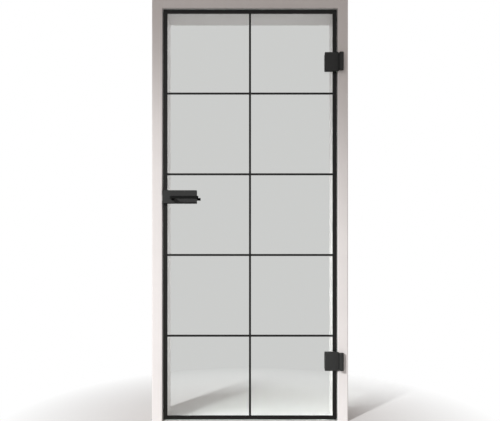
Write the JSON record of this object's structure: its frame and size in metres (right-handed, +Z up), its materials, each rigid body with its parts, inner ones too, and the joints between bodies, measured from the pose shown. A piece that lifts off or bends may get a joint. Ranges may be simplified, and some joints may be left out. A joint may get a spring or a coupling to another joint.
{
  "type": "framed glass door",
  "caption": "Hinged clear glass door leaf with a black printed grid, black hinges, lever lock and latch, in a white rebated frame for a wall opening.",
  "frame": {"origin": "setting-out point of the doorway: centre of its width, at the finished floor, in the plane of the front casing's face", "axes": "+X towards the hinges, +Y from the opening side into the wall, +Z up"},
  "size_m": [0.941, 0.244, 2.032],
  "materials": {
    "white_lacquer": "satin off-white lacquer on board",
    "seal_rubber": "soft grey bulb seal",
    "beech": "plain turned beech",
    "clear_glass": "clear toughened float glass with ground edges",
    "black_enamel": "fired black print",
    "graphite_coating": "matt graphite black coating on a casting",
    "black_coating": "matt black coating on a casting",
    "nylon": "black nylon",
    "gasket_rubber": "black fibre and rubber sheet",
    "black_steel": "blackened steel",
    "satin_steel": "satin stainless steel",
    "bare_steel": "dull grey plated steel"
  },
  "bodies": {
    "frame": {"hinge_side_lining": "white_lacquer", "lock_side_lining": "white_lacquer", "head_lining": "white_lacquer", "hinge_side_casing": "white_lacquer", "lock_side_casing": "white_lacquer", "head_casing": "white_lacquer", "hinge_side_back_casing": "white_lacquer", "lock_side_back_casing": "white_lacquer", "head_back_casing": "white_lacquer", "hinge_side_seal": "seal_rubber", "lock_side_seal": "seal_rubber", "head_seal": "seal_rubber", "corner_dowels": "beech", "strike_plate": "satin_steel", "strike_screws": "satin_steel", "upper_hinge_frame_part": "graphite_coating", "upper_hinge_receiver": "bare_steel", "upper_hinge_pin": "bare_steel", "upper_hinge_caps": "graphite_coating", "lower_hinge_frame_part": "graphite_coating", "lower_hinge_receiver": "bare_steel", "lower_hinge_pin": "bare_steel", "lower_hinge_caps": "graphite_coating"},
    "leaf": {"glass_pane": "clear_glass", "grid_print": "black_enamel", "upper_hinge_clamp": "graphite_coating", "upper_hinge_bushes": "nylon", "upper_hinge_back_plate": "graphite_coating", "upper_hinge_gaskets": "gasket_rubber", "upper_hinge_screws": "black_steel", "upper_hinge_sleeves": "nylon", "lower_hinge_clamp": "graphite_coating", "lower_hinge_bushes": "nylon", "lower_hinge_back_plate": "graphite_coating", "lower_hinge_gaskets": "gasket_rubber", "lower_hinge_screws": "black_steel", "lower_hinge_sleeves": "nylon", "lock_case": "graphite_coating", "lock_forend": "satin_steel", "lock_gaskets": "gasket_rubber", "lock_back_plate": "bare_steel", "lock_back_cover": "graphite_coating", "lock_bolts": "bare_steel", "lock_sleeves": "nylon", "latch_spring": "bare_steel", "lever_spring": "bare_steel"},
    "lever": {"front_lever": "black_coating", "back_lever": "black_coating", "spindle": "bare_steel", "follower": "bare_steel", "lever_grub_screws": "black_steel"},
    "latch": {"latch_bolt": "bare_steel"}
  },
  "joints": [
    {"name": "door_swing", "type": "hinge", "parent": "frame", "child": "leaf", "pos_m": [0.4365, -0.0145, 0], "axis": [0, 0, 1], "range_deg": [0, 170]},
    {"name": "lever_turn", "type": "hinge", "parent": "leaf", "child": "lever", "pos_m": [-0.37, 0, 1.071], "axis": [0, 1, 0], "range_deg": [0, 35], "stiffness_Nm_per_rad": 1.5, "springref_deg": -22.92, "deforming": ["lever_spring"]},
    {"name": "latch_slide", "type": "slide", "parent": "leaf", "child": "latch", "axis": [1, 0, 0], "range_m": [0, 0.012], "deforming": ["latch_spring"]}
  ],
  "couplings": [
    {"joint": "latch_slide", "follows": "lever_turn", "m_per_rad": 0.01964}
  ]
}
